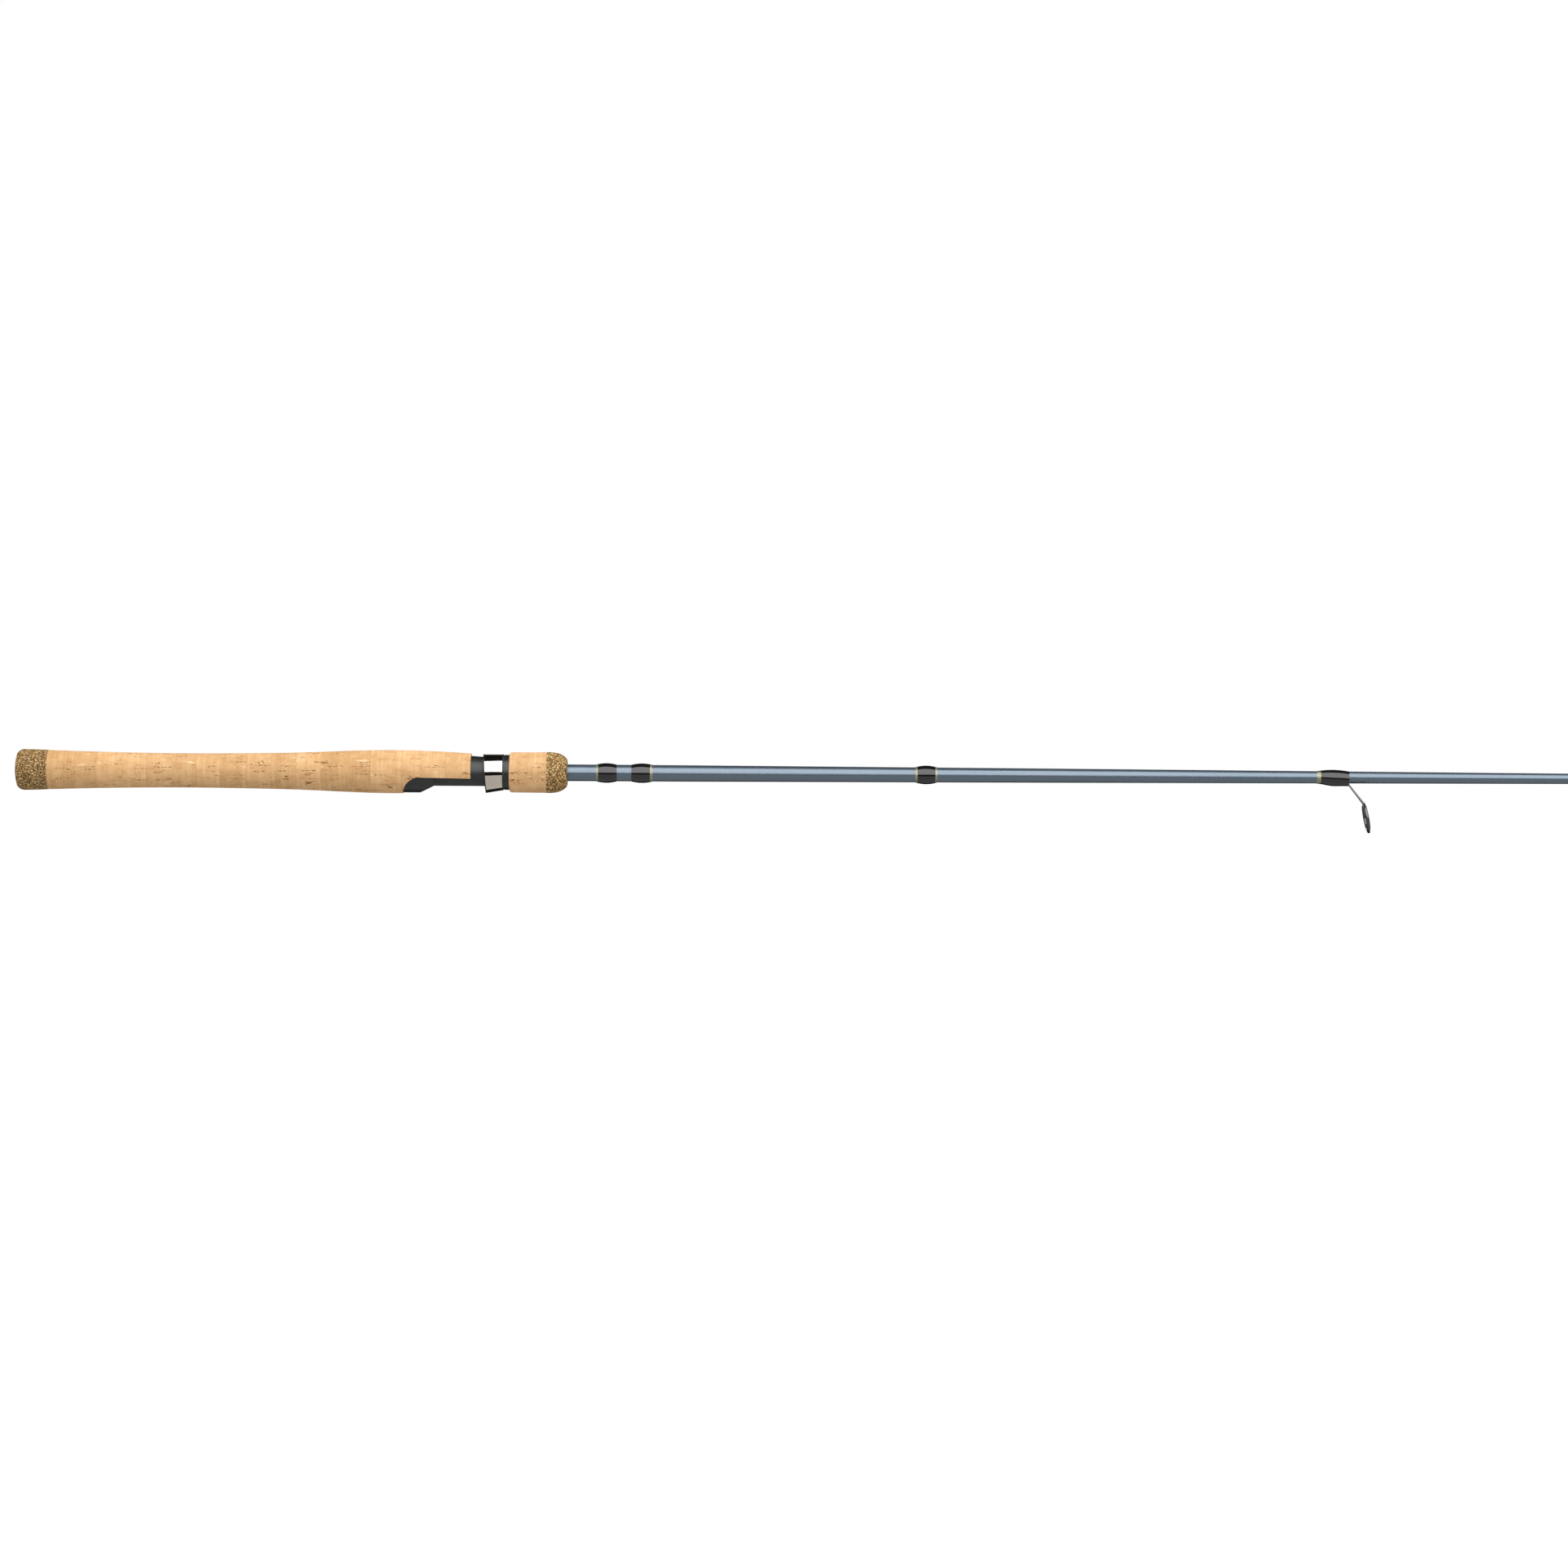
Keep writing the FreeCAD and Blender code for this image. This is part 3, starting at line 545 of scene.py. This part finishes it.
def cork_ring(name, rng, x0, x1, outline_at, bore, body, cut):
    """One ring of a turned grip, with its pits pressed in and a hair-line groove at its joints."""
    count = math.ceil((x1 - x0) / CORK_STEP)
    body_rows = np.linspace(x0 + RIM_INSET, x1 - RIM_INSET, count)
    stations = np.concatenate([[x0, x0 + RIM_ROW], body_rows, [x1 - RIM_ROW, x1]])
    tone = rng.uniform(0.0, 1.0)
    girth = 2 * math.pi * outline_at(0.5 * (x0 + x1))
    marks = cork_marks(rng, x0, x1, girth)
    vertices, stain_all = [], []
    for x in stations:
        outer = outline_at(x) - (JOINT_GROOVE if x in (x0, x1) else 0.0)
        height = roof_height(x) if cut else UNCUT
        reach = math.acos(max(-1.0, height / outer))
        inner_reach = math.acos(max(-1.0, height / bore))
        angle = np.linspace(-reach, reach, AROUND_CORK)
        along = np.full(AROUND_CORK, x)
        stain, depth = mark_field(marks, along, (angle + math.pi) / (2 * math.pi) * girth, girth)
        at_joint = min(x - x0, x1 - x) < 0.5 * (RIM_ROW + RIM_INSET)
        joint = JOINT_STAIN if at_joint else 0.0
        stain = np.maximum(stain, joint * rng.uniform(0.3, 1.0, len(stain)))
        ring = [(x, r * math.sin(a), r * math.cos(a)) for a, r in zip(angle, outer - depth)]
        low = (x, bore * math.sin(inner_reach), bore * math.cos(inner_reach))
        middle = low if height > -bore else (x, 0.0, max(height, -outer))
        path = wall_path(ring[-1], middle, low)
        inner = [(x, bore * math.sin(a), bore * math.cos(a))
                 for a in np.linspace(inner_reach, -inner_reach, AROUND_CORK // 3)]
        back = [(p[0], -p[1], p[2]) for p in path[::-1]]
        loop = ring + path + inner + back
        stain_all.extend(stain)
        stain_all.extend([0.0] * (len(loop) - AROUND_CORK))
        vertices.extend(loop)
    columns = len(vertices) // len(stations)
    faces = grid_faces(len(stations), columns, close_rows=False)
    faces += end_faces(len(stations), columns)
    attributes = {"tone": np.full(len(vertices), tone), "stain": stain_all}
    return mesh_object(name, vertices, faces, CORK, body, attributes, smooth_angle=50.0)


def end_faces(rows, columns):
    """Flat ends of a cork ring: a strip between its outer and inner arcs."""
    faces = []
    outer_count = AROUND_CORK
    inner_count = columns - outer_count - 2 * (WALL_STEPS - 1)
    inner_start = outer_count + WALL_STEPS - 1
    for row, flip in ((0, False), (rows - 1, True)):
        base = row * columns
        i, j = 0, inner_start + inner_count - 1
        while i < outer_count - 1 or j > inner_start:
            outer_share = i / (outer_count - 1)
            inner_share = (inner_start + inner_count - 1 - j) / (inner_count - 1)
            if i < outer_count - 1 and (outer_share <= inner_share or j == inner_start):
                face = (base + i, base + j, base + i + 1)
                i += 1
            else:
                face = (base + i, base + j, base + j - 1)
                j -= 1
            faces.append(face[::-1] if flip else face)
        lead = [0] + list(range(columns - 1, inner_start + inner_count - 2, -1))
        tail = list(range(outer_count - 1, inner_start + 1))
        faces += [tuple(base + k for k in loop) for loop in (lead, tail)]
    return faces


def build_grip(prefix, node, rings, rng, body, bore_at, cut_from=None):
    """Rings of one grip, glued end to end; those past cut_from sit on the seat and are cut away."""
    xs, rs = outline(node)
    x0, x1 = span(node)
    pitch = (x1 - x0) / rings
    for k in range(rings):
        a, b = x0 + k * pitch, x0 + (k + 1) * pitch
        seated = cut_from is not None and a > cut_from
        ring = cork_ring(prefix.format(k + 1), rng, a, b, lambda x: float(np.interp(x, xs, rs)),
                         SEAT_RADIUS if seated else bore_at(a), body, seated)
        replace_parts(ring, node)


def build_grips():
    """Rear grip, bored for the blank and then for the seat, and the foregrip's two rings."""
    rng = np.random.RandomState(SEED)
    blank_x, blank_r = outline("butt_blank")
    build_grip("rear_cork_ring_{:02d}", "rear_grip_cork_rings", GRIP_RINGS, rng, "butt_section",
               lambda x: float(np.interp(x, blank_x, blank_r)), span("reel_seat")[0] - 1)
    build_grip("fore_cork_ring_{}", "foregrip_cork_rings", FORE_RINGS, rng, "foregrip",
               lambda x: NUT_RADIUS)


def build_caps():
    """Butt cap with its blind hole, and the foregrip's nose with its bore."""
    xs, rs = resample(*outline("butt_cap"), CAP_STEP)
    rows = [(xs[0], 0.0)] + list(zip(xs[1:], rs[1:]))
    rows += [(xs[-1], CAP_HOLE_RADIUS), (CAP_HOLE_END, CAP_HOLE_RADIUS), (CAP_HOLE_END, 0.0)]
    cap = turned("butt_cap_burl", rows, AROUND_CORK, BURL, "butt_section", False, 0.4)
    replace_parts(cap, "butt_cap")
    xs, rs = resample(*outline("foregrip_cap"), CAP_STEP)
    rows = list(zip(xs, rs)) + [(xs[-1] - NOSE_CHAMFER, NOSE_BORE), (xs[0], NOSE_BORE)]
    nose = turned("foregrip_cap_burl", rows, AROUND_CORK, BURL, "foregrip", True, 0.85)
    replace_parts(nose, "foregrip_cap")


# ---- blanks, wraps and the pieces that keep their CAD meshes ------------------------
def build_blanks():
    """Both blanks, rounder than their CAD meshes."""
    for node, body in (("butt_blank", "butt_section"), ("tip_blank", "tip_section")):
        turned_from_frame(node + "_tube", node, BLANK_STEP, BLANK, body)


def build_plain_wraps():
    """Wraps and trim bands that run plainly round the rod."""
    wraps = (("fore_wrap_1", "butt_section"), ("fore_wrap_2", "butt_section"),
             ("mid_wrap", "butt_section"), ("ferrule_wrap", "tip_section"), ("tip_top_wrap", "tip_section"))
    trims = (("fore_wrap_1_trim", "butt_section"), ("fore_wrap_2_trim", "butt_section"),
             ("tip_top_trim", "tip_section"))
    for nodes, material, slot in ((wraps, BLACK_THREAD, "wrap_black"), (trims, TRIM_THREAD, "trim_gold")):
        for node, body in nodes:
            turned_from_frame(node + "_windings", node, WRAP_STEP, material, body)


def cover(node, material, edge=0.0):
    """Gives a CAD node that stays its material and, if asked, edges rounded by that much."""
    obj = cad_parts[node]
    if not obj.material_slots:
        obj.data.materials.append(material)
    for entry in obj.material_slots:
        entry.material = material
    if edge:
        rounding = obj.modifiers.new("rounded_edges", "BEVEL")
        rounding.width = edge * MM
        rounding.segments = 3
        rounding.limit_method = "ANGLE"
        rounding.angle_limit = math.radians(40)
        rounding.harden_normals = True


def dress_frame():
    """Materials of the pieces whose CAD meshes stay."""
    cover("reel_seat", SEAT_BLACK, MOULDED_EDGE)
    cover("sliding_hood", SEAT_BLACK, MOULDED_EDGE)
    cover("lock_nut", NUT_BLACK, NUT_EDGE)
    cover("hood_washer", WASHER_BLACK)
    cover("hood_band", BAND_METAL, SMALL_EDGE)
    cover("seat_arbors", FOAM)
    cover("mid_wrap_trims", TRIM_THREAD)
    cover("ferrule_wrap_trims", TRIM_THREAD)
    for number in range(1, GUIDE_COUNT + 1):
        cover(f"guide_{number}_frame", GUIDE_METAL, GUIDE_EDGE)
        cover(f"guide_{number}_ring", CERAMIC)
        cover(f"guide_{number}_wrap", BLACK_THREAD, SMALL_EDGE)
        cover(f"guide_{number}_trim", TRIM_THREAD)
    cover("tip_top_frame", GUIDE_METAL, SMALL_EDGE)
    cover("tip_top_ring", CERAMIC)


# ---- stage, light and camera --------------------------------------------------------
def area_light(name, height, side, distance, panel_height, radiance, matt, shiny):
    """Long panel beside the rod, facing it from a height in degrees, of a given radiance."""
    data = bpy.data.lights.new(name, "AREA")
    data.shape = "RECTANGLE"
    data.size = PANEL_LENGTH
    data.size_y = panel_height
    data.energy = radiance * math.pi * PANEL_LENGTH * panel_height
    obj = bpy.data.objects.new(name, data)
    bpy.context.scene.collection.objects.link(obj)
    low, high = CAD_BOX
    angle = math.radians(height)
    direction = Vector((0, side * math.cos(angle), math.sin(angle)))
    obj.location = Vector((0.5 * (low[0] + high[0]), 0.0, 0.0)) + direction * distance
    obj.rotation_euler = direction.to_track_quat("Z", "Y").to_euler()
    obj.visible_camera = False
    obj.visible_diffuse = matt
    obj.visible_glossy = shiny


def build_world():
    """White to the camera, even fill for matt surfaces, nearly dark in reflections."""
    world = bpy.data.worlds.new("studio")
    bpy.context.scene.world = world
    world.use_nodes = True
    tree = world.node_tree
    tree.nodes.clear()

    def white(strength):
        node = tree.nodes.new("ShaderNodeBackground")
        node.inputs["Color"].default_value = (1, 1, 1, 1)
        node.inputs["Strength"].default_value = strength
        return node.outputs[0]

    def choose(factor, otherwise, chosen):
        node = tree.nodes.new("ShaderNodeMixShader")
        for socket, value in zip(node.inputs, (factor, otherwise, chosen)):
            tree.links.new(value, socket)
        return node.outputs[0]

    path = tree.nodes.new("ShaderNodeLightPath").outputs
    lit = choose(path["Is Glossy Ray"], white(FILL_STRENGTH), white(MIRRORED_STRENGTH))
    seen = choose(path["Is Camera Ray"], lit, white(1.0))
    tree.links.new(seen, tree.nodes.new("ShaderNodeOutputWorld").inputs["Surface"])


def build_floor():
    """Plain white floor well under the rod."""
    low, high = CAD_BOX
    middle, z = 0.5 * (low[0] + high[0]), low[2] - FLOOR_DROP
    mesh = bpy.data.meshes.new("floor")
    signs = ((-1, -1), (1, -1), (1, 1), (-1, 1))
    corners = [(middle + a * FLOOR_HALF, b * FLOOR_HALF, z) for a, b in signs]
    mesh.from_pydata(corners, [], [(0, 1, 2, 3)])
    floor = bpy.data.objects.new("floor", mesh)
    bpy.context.scene.collection.objects.link(floor)
    s = Shader("floor_white")
    s.set(Base_Color=(0.9, 0.9, 0.9, 1), Roughness=1.0)
    s.surface.inputs["Emission Color"].default_value = (1, 1, 1, 1)
    s.surface.inputs["Emission Strength"].default_value = 1.0
    floor.data.materials.append(s.material)
    floor.visible_diffuse = False
    floor.visible_glossy = False
    floor.visible_shadow = False


def build_camera():
    """Long lens square to the rod's side, framed on its butt half."""
    data = bpy.data.cameras.new("camera")
    camera = bpy.data.objects.new("camera", data)
    bpy.context.scene.collection.objects.link(camera)
    data.sensor_width = SENSOR_WIDTH
    data.lens = SENSOR_WIDTH * CAMERA_DISTANCE / SEEN_WIDTH
    data.clip_end = 60.0
    camera.matrix_world = (Matrix.Translation(Vector(CAMERA_AIM) + Vector((0, -CAMERA_DISTANCE, 0)))
                           @ Euler((math.radians(90), 0, 0)).to_matrix().to_4x4()
                           @ Matrix.Rotation(CAMERA_ROLL, 4, "Z"))
    bpy.context.scene.camera = camera
    bpy.context.scene.view_settings.view_transform = "Standard"


build_grips()
build_caps()
build_blanks()
build_plain_wraps()
dress_frame()
build_world()
build_floor()
for panel in PANELS:
    area_light(*panel)
build_camera()
